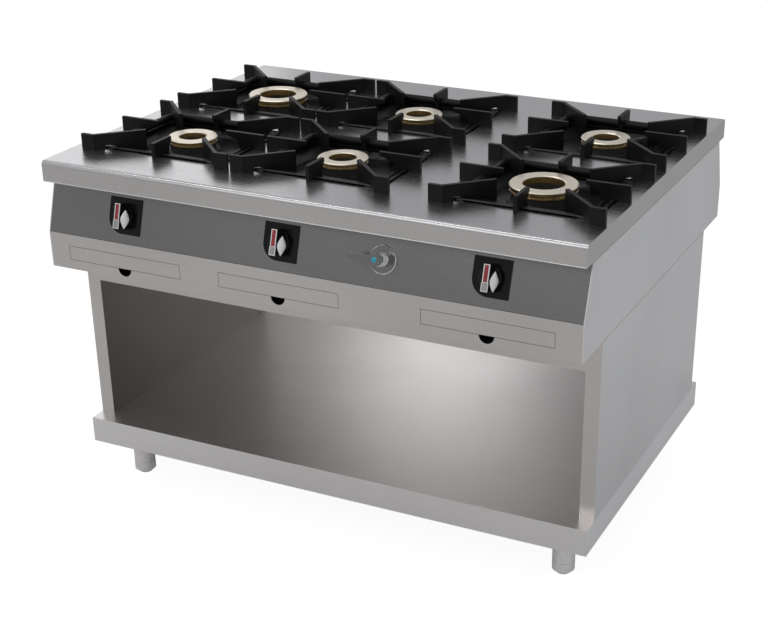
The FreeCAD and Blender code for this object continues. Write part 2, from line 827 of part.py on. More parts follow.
def arch_sketch(body, sketch, place, half, rise):
    """Cuts a low arch, part of a large circle, out of the underside of a fin."""
    radius = "((%s) ^ 2 + (%s) ^ 2) / (2 * (%s))" % (half, rise, rise)
    circle(sketch, place, "support_base + (%s) - %s" % (rise, radius), radius)
    pocket(body, sketch, "2 * fin_thick", both=True)


def add_straight_fins(body, role, fin, web, frame_half):
    """The two fins along one axis: a nose over the bowl, a web and a foot beyond the lip."""
    tip, end, inner = fin + "_fin_tip", fin + "_fin_end", "%s_web_%s" % (fin, web)
    profile = [(end, "support_base"),
               (end, "support_top"),
               (tip, "support_top"),
               (tip, "support_top - nose_height"),
               ("(%s + %s) / 2" % (inner, tip), "support_top - 1.5 * nose_height"),
               (inner, "top_height + web_top"),
               (inner, "frame_low"),
               (frame_half, "frame_low"),
               (frame_half, "support_base")]
    for sign in ("1", "-1"):
        points = [("%s * (%s)" % (sign, place), height) for place, height in profile]
        pad(body, polygon(sketch_on(body, role), points), "fin_thick", both=True)
        arch_sketch(body, sketch_on(body, role), "%s * %s_arch_%s" % (sign, fin, web),
                    fin + "_arch_half", fin + "_arch_rise")


def add_corner_fin(body, sign_x, sign_y):
    """A tall fin on the diagonal; its tip hangs in the bowl and its foot stands outside."""
    root = "1.41421356"
    points = [("corner_tip_y * " + root, "top_height - corner_tip_drop"),
              ("corner_keel_y * " + root, "top_height - corner_tip_drop"),
              ("corner_frame_y * " + root, "frame_low"),
              ("corner_frame_y * " + root, "support_base"),
              ("foot_end_y * " + root, "support_base"),
              ("foot_end_y * " + root, "support_top"),
              ("corner_tip_y * " + root, "support_top")]
    angle = math.degrees(math.atan2(sign_y, sign_x))
    turn = FreeCAD.Rotation(Vector(0, 1, 0), angle)
    sketches = []
    for purpose in ("fin", "arch"):
        sketch = sketch_on(body, "XZ_Plane")
        sketch.AttachmentOffset = FreeCAD.Placement(Vector(0, 0, 0), turn)
        sketch.setExpression("AttachmentOffset.Base.x", bound("%d * kink_shift" % sign_x))
        sketches.append(sketch)
    pad(body, polygon(sketches[0], points), "fin_thick", both=True)
    arch_sketch(body, sketches[1], "corner_arch_y * " + root, "corner_arch_half", "corner_arch_rise")


def make_pan_support(column, row_name):
    """A cast support: eight fins on a low frame, and a round bar along the left and the rear."""
    body = new_body("casting_%s_%s" % (column, row_name))
    ring = sketch_on(body, "XY_Plane", "frame_low")
    rounded_rectangle(ring, "frame_half_x", "frame_half_y", "frame_corner")
    rounded_rectangle(ring, "frame_half_x - frame_width", "frame_half_y - frame_width",
                      "frame_corner - frame_width")
    pad(body, ring, "frame_height")
    add_straight_fins(body, "XZ_Plane", "side", "x", "frame_half_x")
    add_straight_fins(body, "YZ_Plane", "front", "y", "frame_half_y")
    for sign_x in (-1, 1):
        for sign_y in (-1, 1):
            add_corner_fin(body, sign_x, sign_y)
            toe = sketch_on(body, "XY_Plane", "support_base")
            rectangle(toe, "%d * (kink_x - fin_thick / 2)" % sign_x,
                      "%d * foot_end_y - fin_thick / 2" % sign_y,
                      "%d * foot_end_x" % sign_x,
                      "%d * foot_end_y + fin_thick / 2" % sign_y)
            pad(body, toe, "support_height - support_gap")
    height = value("top_height + bar_rise")
    route = [Vector(value("bar_turn - bar_x"), -value("bar_end_y"), height),
             Vector(-value("bar_x"), value("bar_turn - bar_end_y"), height),
             Vector(-value("bar_x"), value("bar_y"), height),
             Vector(value("bar_end_x"), value("bar_y"), height)]
    bar = feature_of("bar_%s_%s" % (column, row_name),
                     bent_tube(route, value("bar_radius"), value("bar_bend")))
    support = doc.addObject("Part::Fuse", "pan_support_%s_%s" % (column, row_name))
    support.Base = body
    support.Tool = bar
    support.Placement = FreeCAD.Placement(
        Vector(value("column_" + column), value("row_" + row_name), 0), FreeCAD.Rotation())


# ---------------------------------------------------------------- controls

def make_control_plate(column, side):
    body = new_body("control_plate_%s_%s" % (column, side))
    outline = sketch_on(body, "XY_Plane")
    block = pad(body, middle_rectangle(outline, "plate_width / 2", "plate_height / 2"), "plate_thick")
    corner_x, corner_y = "-plate_width / 2", "-plate_height / 2"
    round_edges(body, block, "plate_round",
                lambda edge: lies_at(edge, "X", corner_x) and lies_at(edge, "Y", corner_y))
    hole = circle(sketch_on(body, "XY_Plane", "plate_thick"), "0", "0", "collar_hole")
    pocket(body, hole, "2 * plate_thick")
    body.Placement = panel_placement("knob_" + column, side)
    return body


def make_valve(column, side):
    """A gas valve behind the panel: bonnet, barrel and an inlet that stands on the rail."""
    barrel = new_body("valve_barrel_%s_%s" % (column, side))
    low = circle(sketch_on(barrel, "XY_Plane", "-valve_back"), "0", "0", "valve_radius")
    pad(barrel, low, "valve_back - valve_front")
    bonnet = circle(sketch_on(barrel, "XY_Plane", "-valve_front"), "0", "0", "bonnet_radius")
    pad(barrel, bonnet, "valve_front - sheet")
    bore = circle(sketch_on(barrel, "XY_Plane", "-sheet"), "0", "0", "spindle_radius + running_gap")
    pocket(barrel, bore, "spindle_inner + 2 * knob_travel - sheet")
    room = circle(sketch_on(barrel, "XY_Plane", "-sheet"), "0", "0", "collar_hole")
    pocket(barrel, room, "collar_room")
    barrel.Placement = panel_placement("knob_" + column, side)
    inlet = doc.addObject("Part::Cylinder", "valve_inlet_%s_%s" % (column, side))
    inlet.setExpression("Radius", bound("valve_inlet_radius"))
    middle = panel_point("knob_" + column, side, -value("valve_inlet_depth"))
    clear = value("((spindle_radius + running_gap) * panel_slope"
                  " + valve_inlet_radius * panel_setback) / panel_rise + 2 * slide_gap")
    inlet.Placement = FreeCAD.Placement(Vector(middle.x, middle.y, value("boss_top")),
                                        FreeCAD.Rotation())
    inlet.Height = middle.z - clear - value("boss_top")
    valve = doc.addObject("Part::Fuse", "gas_valve_%s_%s" % (column, side))
    valve.Base = barrel
    valve.Tool = inlet
    return valve


def make_spindle(column, side):
    """A round rod with a flat on the part that the knob grips."""
    body = new_body("spindle_%s_%s" % (column, side))
    rod = circle(sketch_on(body, "XY_Plane", "-spindle_inner"), "0", "0", "spindle_radius")
    pad(body, rod, "spindle_inner + spindle_outer")
    flat = sketch_on(body, "XY_Plane", "knob_low")
    rectangle(flat, "spindle_flat", "-spindle_radius", "2 * spindle_radius", "spindle_radius")
    pocket(body, flat, "spindle_outer", reverse=True)
    body.Placement = panel_placement("knob_" + column, side)


def make_collar(column, side):
    """The sleeve that guides a spindle through the panel and is pushed in with the knob."""
    body = new_body("collar_%s_%s" % (column, side))
    sleeve = sketch_on(body, "XY_Plane", "-collar_depth")
    circle(sleeve, "0", "0", "collar_radius")
    circle(sleeve, "0", "0", "spindle_radius + running_gap")
    pad(body, sleeve, "collar_depth + collar_top")
    body.Placement = panel_placement("knob_" + column, side)


def make_knob(column, side):
    """A round skirt with a raised bar to grip and a blind D-shaped bore for the spindle."""
    body = new_body("knob_%s_%s" % (column, side))
    skirt = circle(sketch_on(body, "XY_Plane", "knob_low"), "0", "0", "knob_radius")
    pad(body, skirt, "knob_skirt")
    grip = sketch_on(body, "XY_Plane", "knob_skirt_top - knob_skirt / 2")
    middle_rectangle(grip, "grip_width / 2", "grip_length / 2")
    bar = pad(body, grip, "knob_face - knob_skirt_top + knob_skirt / 2")
    round_edges(body, bar, "grip_round",
                lambda edge: edge.BoundBox.ZLength > value("knob_face - knob_skirt_top") - 0.01
                and edge.BoundBox.XLength < 0.01 and edge.BoundBox.YLength < 0.01)
    bore = sketch_on(body, "XY_Plane", "knob_low")
    circle(bore, "0", "0", "spindle_radius + running_gap")
    pocket(body, bore, "spindle_outer + slide_gap - knob_low", reverse=True)
    key = sketch_on(body, "XY_Plane", "knob_low")
    rectangle(key, "spindle_flat + running_gap", "-spindle_radius",
              "spindle_radius + slide_gap", "spindle_radius")
    pad(body, key, "spindle_outer + slide_gap - knob_low")
    body.Placement = panel_placement("knob_" + column, side)


def make_tap():
    """A lever tap: rose and barrel with a threaded tail, and the lever that turns in it."""
    profile = [("0", "-tap_tail"),
               ("tap_shank", "-tap_tail"),
               ("tap_shank", "-sheet - tap_nut_height"),
               ("tap_nut_radius", "-sheet - tap_nut_height"),
               ("tap_nut_radius", "-sheet"),
               ("tap_shank", "-sheet"),
               ("tap_shank", "0"),
               ("rose_radius", "0"),
               ("rose_radius", "rose_thick / 2"),
               ("rose_radius - rose_thick / 2", "rose_thick"),
               ("tap_radius", "rose_thick"),
               ("tap_radius", "tap_body_length"),
               ("lever_pin + running_gap", "tap_body_length"),
               ("lever_pin + running_gap", "tap_body_length - lever_pin_length"),
               ("0", "tap_body_length - lever_pin_length")]
    body = turned("tap_body", profile)
    body.Placement = panel_placement("tap_place", "front")

    lever = new_body("tap_lever")
    cap = circle(sketch_on(lever, "XY_Plane", "tap_body_length + slide_gap"), "0", "0", "tap_radius")
    pad(lever, cap, "tap_face - tap_body_length - slide_gap")
    bar = sketch_on(lever, "XY_Plane", "tap_face - 1.2 * lever_thick")
    rectangle(bar, "-lever_length", "-lever_width / 2", "0", "lever_width / 2")
    pad(lever, bar, "lever_thick")
    pin = circle(sketch_on(lever, "XY_Plane", "tap_body_length + slide_gap"), "0", "0", "lever_pin")
    pad(lever, pin, "lever_pin_length", reverse=True)
    lever.Placement = panel_placement("tap_place", "front")


# ---------------------------------------------------------------- pipework

def threaded_stub(x, height, radius):
    """The plain outside of a pipe thread just behind the rear fascia."""
    end = value("half_depth + inlet_reach")
    start = Vector(x, end - value("inlet_length"), height)
    return Part.makeCylinder(radius, value("inlet_length"), start, Vector(0, 1, 0))


def stub_bore(x, height, radius):
    """The blind bore of a stub, open to the rear."""
    end = value("half_depth + inlet_reach")
    start = Vector(x, end - value("inlet_length - inlet_wall"), height)
    return Part.makeCylinder(radius, value("2 * inlet_length"), start, Vector(0, 1, 0))


def make_gas_pipework():
    """Two rails with bosses for the valves, the main to the rear, and six burner pipes."""
    rail, main = value("rail_height"), value("main_height")
    main_x, rail_end, rail_y = value("main_x"), value("rail_end"), value("rail_y")
    radius, bend = value("rail_radius"), value("rail_bend")
    stub_start = value("half_depth + inlet_reach - inlet_length")
    front = bent_tube([Vector(rail_end, -rail_y, rail), Vector(main_x, -rail_y, rail),
                       Vector(main_x, -rail_y, main), Vector(main_x, stub_start, main)], radius, bend)
    rear = bent_tube([Vector(rail_end, rail_y, rail), Vector(main_x, rail_y, rail),
                      Vector(main_x, rail_y, main)], radius, bend)
    manifold = front.fuse(rear)
    manifold = manifold.fuse(threaded_stub(main_x, main, value("gas_inlet_radius")))
    for column in COLUMNS:
        for sign in (-1, 1):
            foot = Vector(value("knob_" + column), sign * rail_y, rail)
            boss = Part.makeCylinder(value("boss_radius"), value("boss_top") - rail, foot)
            manifold = manifold.fuse(boss)
    manifold = manifold.cut(stub_bore(main_x, main, value("gas_inlet_bore")))
    pieces = [manifold]
    mixer = value("top_height - mixer_drop")
    for row_name, sign in (("front", -1), ("rear", 1)):
        mouth = value("row_" + row_name) + sign * value("mixer_length - burner_wall")
        for column in COLUMNS:
            burner_x = value("column_" + column)
            start = panel_point("knob_" + column, row_name, -value("valve_back"))
            bottom = panel_point("knob_" + column, row_name, -1.5 * value("valve_back"))
            riser = Vector(burner_x, bottom.y, mixer)
            end = Vector(burner_x, mouth, mixer)
            pieces.append(bent_tube([start, bottom, riser, end],
                                    value("burner_pipe_radius"), value("burner_pipe_bend")))
    feature_of("gas_pipework", Part.makeCompound([part.removeSplitter() for part in pieces]))


def make_water_pipe():
    """From the tail of the tap down between two drawers and back to the rear inlet."""
    place, height = value("tap_place"), value("water_height")
    start = panel_point("tap_place", "front", -value("tap_tail"))
    turn = panel_point("tap_place", "front", -2 * value("tap_tail"))
    stub_start = value("half_depth + inlet_reach - inlet_length")
    route = [start, turn, Vector(place, turn.y, height), Vector(place, stub_start, height)]
    pipe = bent_tube(route, value("water_radius"), value("water_bend"))
    pipe = pipe.fuse(threaded_stub(place, height, value("water_inlet_radius")))
    pipe = pipe.cut(stub_bore(place, height, value("water_inlet_bore")))
    feature_of("water_pipe", pipe.removeSplitter())


# ---------------------------------------------------------------- the whole range

make_worktop()
make_box_side("left")
make_box_side("right")
make_control_panel("front")
make_control_panel("rear")
make_front_fascia()
make_rear_fascia()
make_box_floor()
make_stand_wall("left")
make_stand_wall("right")
make_stand_back()
make_stand_header()
make_shelf_tray()
make_feet()
make_runners()
wells, cups, plates, valves = [], [], [], []
for column_name in COLUMNS:
    make_drawer(column_name)
    for row_end in ROWS:
        wells.append(make_well(column_name, row_end))
        cups.append(make_burner_body(column_name, row_end))
        make_burner_ring(column_name, row_end)
        make_pan_support(column_name, row_end)
        plates.append(make_control_plate(column_name, row_end))
        valves.append(make_valve(column_name, row_end))
        make_spindle(column_name, row_end)
        make_collar(column_name, row_end)
        make_knob(column_name, row_end)
group("burner_wells", wells)
group("burner_bodies", cups)
group("control_plates", plates)
group("gas_valves", valves)
make_tap()
make_gas_pipework()
make_water_pipe()
doc.recompute()

GROUPED = ("sleeve_", "runner_", "well_", "burner_body_", "control_plate_", "valve_", "gas_valve_",
           "casting_", "bar_")
NODE_TYPES = ("PartDesign::Body", "Part::Compound", "Part::Feature", "Part::Fuse")


def write_nodes():
    """Stops on any failed object, then writes each node's shape to its own file."""
    failed = [item.Label for item in doc.Objects if "Invalid" in item.State or "Error" in item.State]
    if failed:
        raise RuntimeError("not built: " + ", ".join(failed))
    os.makedirs("parts", exist_ok=True)
    nodes = [item for item in doc.Objects
             if item.TypeId in NODE_TYPES and not item.Label.startswith(GROUPED)]
    for node in nodes:
        if node.Shape.isNull() or not node.Shape.isValid() or not node.Shape.Solids:
            raise RuntimeError("%s has no valid solid" % node.Label)
    for node in nodes:
        node.Shape.exportStep("parts/%s.step" % node.Label)
    print("%d nodes, %d solids" % (len(nodes), sum(len(node.Shape.Solids) for node in nodes)))
    box = Part.makeCompound([node.Shape for node in nodes]).BoundBox
    print("size %.1f x %.1f x %.1f mm" % (box.XLength, box.YLength, box.ZLength))
    print("Y from %.2f to %.2f, Z from %.2f" % (box.YMin, box.YMax, box.ZMin))


write_nodes()
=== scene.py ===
"""The look of the wok range: materials, small trim, floor, light and camera round the CAD frame."""
import math

import bmesh
import bpy
from mathutils import Matrix, Vector


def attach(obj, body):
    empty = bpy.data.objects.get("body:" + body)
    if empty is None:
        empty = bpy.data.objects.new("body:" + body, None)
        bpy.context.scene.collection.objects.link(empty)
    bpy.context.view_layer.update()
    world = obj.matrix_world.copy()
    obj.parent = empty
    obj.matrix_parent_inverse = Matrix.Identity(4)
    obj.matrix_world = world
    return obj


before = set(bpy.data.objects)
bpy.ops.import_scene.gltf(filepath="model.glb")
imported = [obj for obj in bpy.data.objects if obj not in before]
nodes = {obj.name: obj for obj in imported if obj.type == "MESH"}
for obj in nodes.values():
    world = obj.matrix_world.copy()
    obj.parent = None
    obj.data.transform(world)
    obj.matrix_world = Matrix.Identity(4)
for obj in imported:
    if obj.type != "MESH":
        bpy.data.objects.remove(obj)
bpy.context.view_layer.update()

scene = bpy.context.scene

COLUMNS = ("left", "middle", "right")
SIDES = ("front", "rear")

# All lengths are in metres. The worktop, and the control panels that slope in under it.
TOP_HEIGHT = 0.785
SLAB_UNDER = 0.741
HALF_WIDTH = 0.6
HALF_DEPTH = 0.45
PANEL_RISE = 0.1095
PANEL_SETBACK = 0.036
PANEL_OUT = Vector((0.0, -PANEL_RISE, PANEL_SETBACK)).normalized()

# The trim on the knobs and the tap, on the axes of the panel: along it, up its slope, out of it.
KNOB_X = {"left": -0.412, "middle": -0.0425, "right": 0.4085}
KNOB_SKIRT_TOP = 0.0129
GRIP_FLANK = 0.0074
GRIP_FACE = 0.031
PLATE_TOP = GRIP_FACE + 0.0008
INLAY_BOTTOM = GRIP_FACE + 0.0006
INLAY_TOP = GRIP_FACE + 0.0012
PLATE_OUTLINE = ((-0.0070, -0.0258), (0.0070, -0.0258), (0.0072, -0.0100), (0.0062, -0.0080),
                 (0.0062, 0.0258), (-0.0062, 0.0258), (-0.0062, -0.0080), (-0.0072, -0.0100))
STRIPE_OUTLINE = ((-0.0040, -0.0075), (0.0040, -0.0075), (0.0040, 0.0242), (-0.0040, 0.0242))
LOWER_OUTLINE = ((-0.0054, -0.0242), (0.0054, -0.0242), (0.0056, -0.0105), (0.0044, -0.0085),
                 (-0.0044, -0.0085), (-0.0056, -0.0105))

# The leaf on each knob's cheek is a painted highlight: a bright patch where the chrome flank
# catches the light.
LEAF_MIDDLE = Vector((0.0147, -0.0052, 0.0232))
LEAF_LEAN = Vector((0.68, 0.73)).normalized()
LEAF_HALF_LENGTH = 0.0197
LEAF_HALF_WIDTH = 0.0091
LEAF_SWELL = 0.0022
LEAF_THICK = 0.0004
LEAF_POINT = 1.5
LEAF_ROWS = 24
LEAF_COLUMNS = 10

TAP_X = 0.183
TAP_RIM = ((0.0268, 0.0026), (0.0268, 0.0031), (0.0279, 0.0040), (0.0290, 0.0034),
           (0.0293, 0.0020), (0.0293, 0.0004), (0.0286, 0.0004))
TAP_DOT = ((0.00001, 0.0409), (0.0054, 0.0409), (0.0054, 0.0412), (0.0046, 0.0416),
           (0.00001, 0.0418))
RIB_COUNT = 5
RIB_FIRST = 0.0040
RIB_PITCH = 0.0046
RIB_FOOT = 0.0130
RIB_CREST = 0.0138
RIB_SLOPE = 0.0008
RIB_HEIGHT = 0.0034
RIB_BORE = 0.0129
RIB_SPAN = (0.0034, 0.0262)

# The rolled rims of the wells, and the low webs beyond them under the arches of the pan supports;
# the webs are painted shade, black where the arches show only shade and dark reflection.
WELL_X = {"left": -0.394, "middle": -0.028, "right": 0.416}
WELL_Y = {"front": -0.196, "rear": 0.1655}
RIM_HALF_X = 0.1505
RIM_HALF_Y = 0.126
RIM_CORNER = 0.014
RIM_CORNER_LEAST = 0.002
RIM_SECTION = ((0.0, 0.0001), (0.0, 0.0033), (0.0012, 0.0049), (0.0030, 0.0055),
               (0.0050, 0.0053), (0.0070, 0.0043), (0.0090, 0.0032), (0.0090, 0.0001))
WEB_HALF_THICK = 0.0038
WEB_BOTTOM = 0.0003
WEB_FROM_RIM = 0.0006
WEB_END_X, WEB_TOP_X = 0.1690, 0.0075
WEB_END_Y, WEB_TOP_Y = 0.1400, 0.0070
FIN_SHIFT = 0.0061
SLANT_START, SLANT_END, SLANT_TOP = RIM_HALF_Y + 0.0040, 0.1440, 0.0080

# The hems along the lower edges of the worktop's front and rear skirts.
HEM_RADIUS = 0.0011
HEM_HALF_LENGTH = HALF_WIDTH - 0.001
HEM_HEIGHT = SLAB_UNDER + 0.0008
HEM_STEPS = 16

LEAST_EDGE = 0.000001


# ---------------------------------------------------------------- materials

# How the noise is drawn out: long grain along one axis, or none.
GRAIN_X = (0.02, 1.0, 1.0)
GRAIN_Y = (1.0, 0.02, 1.0)
GRAIN_Z = (1.0, 1.0, 0.02)
GRAIN_LEAF = (1.0, 0.05, 1.0)
EVEN = (1.0, 1.0, 1.0)

# The part of the noise texture's range that its values really fill.
NOISE_LOW = 0.3
NOISE_HIGH = 0.7


def shader(name, color, metallic=0.0, roughness=0.5):
    """A new node material; returns it with its tree and its Principled shader."""
    material = bpy.data.materials.new(name)
    material.use_nodes = True
    tree = material.node_tree
    principled = tree.nodes["Principled BSDF"]
    principled.inputs["Base Color"].default_value = (*color, 1.0)
    principled.inputs["Metallic"].default_value = metallic
    principled.inputs["Roughness"].default_value = roughness
    return material, tree, principled


def noise(tree, scale, stretch=EVEN, detail=4.0, roughness=0.55):
    """Noise in the frame's own coordinates, drawn out along any axis."""
    place = tree.nodes.new("ShaderNodeTexCoord")
    mapping = tree.nodes.new("ShaderNodeMapping")
    mapping.inputs["Scale"].default_value = stretch
    texture = tree.nodes.new("ShaderNodeTexNoise")
    texture.inputs["Scale"].default_value = scale
    texture.inputs["Detail"].default_value = detail
    texture.inputs["Roughness"].default_value = roughness
    tree.links.new(place.outputs["Object"], mapping.inputs["Vector"])
    tree.links.new(mapping.outputs["Vector"], texture.inputs["Vector"])
    return texture.outputs["Fac"]


def vary_roughness(tree, principled, source, roughness, swing):
    """Lets the roughness wander to both sides of its value."""
    ranger = tree.nodes.new("ShaderNodeMapRange")
    ranger.inputs["From Min"].default_value = NOISE_LOW
    ranger.inputs["From Max"].default_value = NOISE_HIGH
    ranger.inputs["To Min"].default_value = roughness - swing
    ranger.inputs["To Max"].default_value = roughness + swing
    tree.links.new(source, ranger.inputs["Value"])
    tree.links.new(ranger.outputs["Result"], principled.inputs["Roughness"])


def vary_color(tree, principled, source, color, darkest, lightest):
    """Lets the base colour wander between two shares of itself."""
    ramp = tree.nodes.new("ShaderNodeValToRGB")
    ends = zip(ramp.color_ramp.elements, (NOISE_LOW, NOISE_HIGH), (darkest, lightest))
    for element, position, share in ends:
        element.position = position
        element.color = (*(part * share for part in color), 1.0)
    tree.links.new(source, ramp.inputs["Fac"])
    tree.links.new(ramp.outputs["Color"], principled.inputs["Base Color"])


def bump(tree, principled, source, strength, distance):
    """Fine relief in the shading, from a noise."""
    relief = tree.nodes.new("ShaderNodeBump")
    relief.inputs["Strength"].default_value = strength
    relief.inputs["Distance"].default_value = distance
    tree.links.new(source, relief.inputs["Height"])
    tree.links.new(relief.outputs["Normal"], principled.inputs["Normal"])


def brushed(name, color, roughness, stretch, metallic=1.0, relief=0.03):
    """Satin metal with fine grain along one direction and soft cloudy variation."""
    material, tree, principled = shader(name, color, metallic, roughness)
    grain = noise(tree, scale=900.0, stretch=stretch, detail=2.0)
    cloud = noise(tree, scale=3.0, detail=2.0)
    vary_color(tree, principled, cloud, color, darkest=0.96, lightest=1.04)
    vary_roughness(tree, principled, grain, roughness, swing=0.05)
    bump(tree, principled, grain, strength=relief, distance=0.0002)
    return material


def casting(name, color, roughness, grain_size, depth, gloss=0.5):
    """Cast, enamelled or moulded surface with a fine orange-peel relief."""
    material, tree, principled = shader(name, color, 0.0, roughness)
    principled.inputs["Specular IOR Level"].default_value = gloss
    grain = noise(tree, scale=grain_size, detail=5.0)
    cloud = noise(tree, scale=14.0, detail=3.0)
    vary_color(tree, principled, cloud, color, darkest=0.8, lightest=1.25)
    vary_roughness(tree, principled, cloud, roughness, swing=0.06)
    bump(tree, principled, grain, strength=0.25, distance=depth)
    return material


STEEL_X = brushed("steel_grain_x", (0.625, 0.597, 0.573), 0.30, GRAIN_X)
# Painted light: a lighter copy of the sheet steel for the sideways faces, which look brighter than
# the fronts.
STEEL_SIDES_PAINTED_LIGHT = brushed("steel_grain_y_painted_light", (0.82, 0.82, 0.82), 0.32, GRAIN_Y)
STEEL_TOP = brushed("steel_top", (0.58, 0.57, 0.58), 0.28, GRAIN_X, relief=0.008)
STEEL_EDGE = brushed("steel_edge", (0.585, 0.565, 0.55), 0.28, GRAIN_X, relief=0.02)
# Partly painted light: a lighter, half-matte copy of the steel for the bay's back wall, which the
# bay lamp also lights.
STEEL_BAY_PAINTED_LIGHT = brushed("steel_bay_painted_light", (0.80, 0.79, 0.81), 0.40, GRAIN_X, metallic=0.55)
# Painted shade: a dark copy of the sheet steel for the left wall's inner skin, in shade inside the
# bay.
STEEL_INNER_PAINTED_SHADE = brushed("steel_inner_painted_shade", (0.26, 0.25, 0.24), 0.34, GRAIN_Y)
STEEL_SHELF = brushed("steel_shelf", (0.82, 0.80, 0.785), 0.34, GRAIN_X)
# Painted light: a lighter, half-matte copy of the steel for the shelf tray's side skirts.
STEEL_SKIRT_PAINTED_LIGHT = brushed("steel_skirt_painted_light", (0.92, 0.92, 0.92), 0.34, GRAIN_Y, metallic=0.6)
# Painted reflection: a dark copy of the sheet steel for the sloping control panels, for the dark
# surroundings that they reflect.
STEEL_PANEL_PAINTED_DARK = brushed("steel_panel_painted_dark", (0.245, 0.242, 0.242), 0.28, GRAIN_X, relief=0.015)
# Turned steel, made lighter and half-matte: painted light that lifts the feet out of the shelf
# tray's shade.
STEEL_TURNED_PAINTED_LIGHT = brushed("steel_turned_painted_light", (0.94, 0.92, 0.90), 0.28, GRAIN_Z, metallic=0.45)
HEM = brushed("steel_hem", (0.78, 0.77, 0.75), 0.30, GRAIN_X, metallic=0.5, relief=0.01)
CHROME = brushed("chrome", (0.88, 0.88, 0.88), 0.12, EVEN, relief=0.01)
# Painted reflection: a dark copy of the chrome for the tap's faces that look out of the panel, for
# the dark surroundings they reflect.
CHROME_PAINTED_DARK = brushed("chrome_in_shade", (0.24, 0.24, 0.24), 0.14, EVEN, relief=0.01)
SATIN = brushed("satin_trim", (0.86, 0.86, 0.86), 0.30, EVEN, metallic=0.4)
# Painted highlight: a bright, half-matte leaf for the highlight on the knob's chrome flank.
LEAF_PAINTED_HIGHLIGHT = brushed("leaf_painted_highlight", (0.93, 0.93, 0.93), 0.26, GRAIN_LEAF, metallic=0.45, relief=0.3)
GREY_TRIM = brushed("grey_trim", (0.40, 0.39, 0.38), 0.35, EVEN, metallic=0.6)
RED_TRIM = casting("red_trim", (0.33, 0.03, 0.035), 0.30, 500.0, 0.0001)
BLUE_DOT = casting("blue_dot", (0.03, 0.45, 0.60), 0.30, 500.0, 0.0001)
ENAMEL = casting("black_enamel", (0.012, 0.012, 0.012), 0.30, 350.0, 0.0003, gloss=0.4)
IRON = casting("cast_black", (0.008, 0.008, 0.008), 0.42, 420.0, 0.0004, gloss=0.2)
BURNER_IRON = casting("burner_iron", (0.030, 0.028, 0.027), 0.5, 300.0, 0.0006)
# Painted sheen: a paler copy of the brass for the rings' upward faces, for the light they catch
# from above.
RING_TOP_PAINTED_SHEEN = brushed("ring_top_painted_sheen", (0.94, 0.86, 0.73), 0.40, EVEN)
BRASS = brushed("ring_brass", (0.84, 0.62, 0.27), 0.32, EVEN)
VALVE_BRASS = brushed("valve_brass", (0.75, 0.58, 0.28), 0.35, EVEN)
ZINC = brushed("zinc_pipe", (0.62, 0.63, 0.64), 0.42, EVEN)
PLATE = casting("black_plate", (0.006, 0.007, 0.006), 0.16, 600.0, 0.0001, gloss=0.22)
KNOB = casting("knob_black", (0.006, 0.006, 0.006), 0.26, 600.0, 0.0002, gloss=0.3)

NODE_MATERIALS = {
    "worktop": STEEL_TOP,
    "box_side_left": STEEL_SIDES_PAINTED_LIGHT,
    "box_side_right": STEEL_SIDES_PAINTED_LIGHT,
    "stand_wall_left": STEEL_SIDES_PAINTED_LIGHT,
    "stand_wall_right": STEEL_SIDES_PAINTED_LIGHT,
    "stand_back": STEEL_BAY_PAINTED_LIGHT,
    "shelf_tray": STEEL_SHELF,
    "control_panel_front": STEEL_PANEL_PAINTED_DARK,
    "control_panel_rear": STEEL_PANEL_PAINTED_DARK,
    "foot_sleeves": STEEL_TURNED_PAINTED_LIGHT,
    "burner_wells": ENAMEL,
    "burner_bodies": BURNER_IRON,
    "gas_pipework": ZINC,
    "water_pipe": ZINC,
    "gas_valves": VALVE_BRASS,
    "control_plates": PLATE,
    "tap_body": CHROME,
    "tap_lever": CHROME,
}
NODE_FAMILIES = {
    "burner_ring_": BRASS,
    "pan_support_": IRON,
    "knob_": KNOB,
    "collar_": STEEL_TURNED_PAINTED_LIGHT,
    "spindle_": STEEL_TURNED_PAINTED_LIGHT,
    "foot_": STEEL_TURNED_PAINTED_LIGHT,
}


def material_for(name):
    """A node's own material, else that of its family, else plain sheet steel."""
    if name in NODE_MATERIALS:
        return NODE_MATERIALS[name]
    for start, material in NODE_FAMILIES.items():
        if name.startswith(start):
            return material
    return STEEL_X


def paint(node, material, wanted):
    """Gives another material to the faces for which the test on normal and centre is true."""
    index = len(node.data.materials)
    node.data.materials.append(material)
    for face in node.data.polygons:
        if wanted(face.normal, face.center):
            face.material_index = index


for node_name, node in nodes.items():
    node.data.materials.clear()
    node.data.materials.append(material_for(node_name))

# The left stand wall is hollow; its inner skin lies on the bay's side of this X and is painted dark
# as shade.
INNER_SKIN_X = -0.57

# The least part of a face's normal along a direction for the face to count as looking that way.
SQUARE = 0.9
ALMOST_EXACT = 0.97
UPWARD = 0.6

# Painted shade on the inner skin of the left wall, which faces the bay.
paint(nodes["stand_wall_left"], STEEL_INNER_PAINTED_SHADE,
      lambda normal, centre: normal.x > SQUARE and centre.x > INNER_SKIN_X)
paint(nodes["worktop"], STEEL_EDGE,
      lambda normal, centre: abs(normal.x) > SQUARE or abs(normal.y) > ALMOST_EXACT)
# The stand walls' front and rear faces keep the plain sheet steel; their sides keep the lighter
# painted copy.
for wall in ("stand_wall_left", "stand_wall_right"):
    paint(nodes[wall], STEEL_X, lambda normal, centre: abs(normal.y) > SQUARE)
# Painted light on the shelf tray's side skirts.
paint(nodes["shelf_tray"], STEEL_SKIRT_PAINTED_LIGHT, lambda normal, centre: abs(normal.x) > SQUARE)
# Painted sheen on the upward faces of the burner rings.
for node_name, node in nodes.items():
    if node_name.startswith("burner_ring_"):
        paint(node, RING_TOP_PAINTED_SHEEN, lambda normal, centre: normal.z > UPWARD)
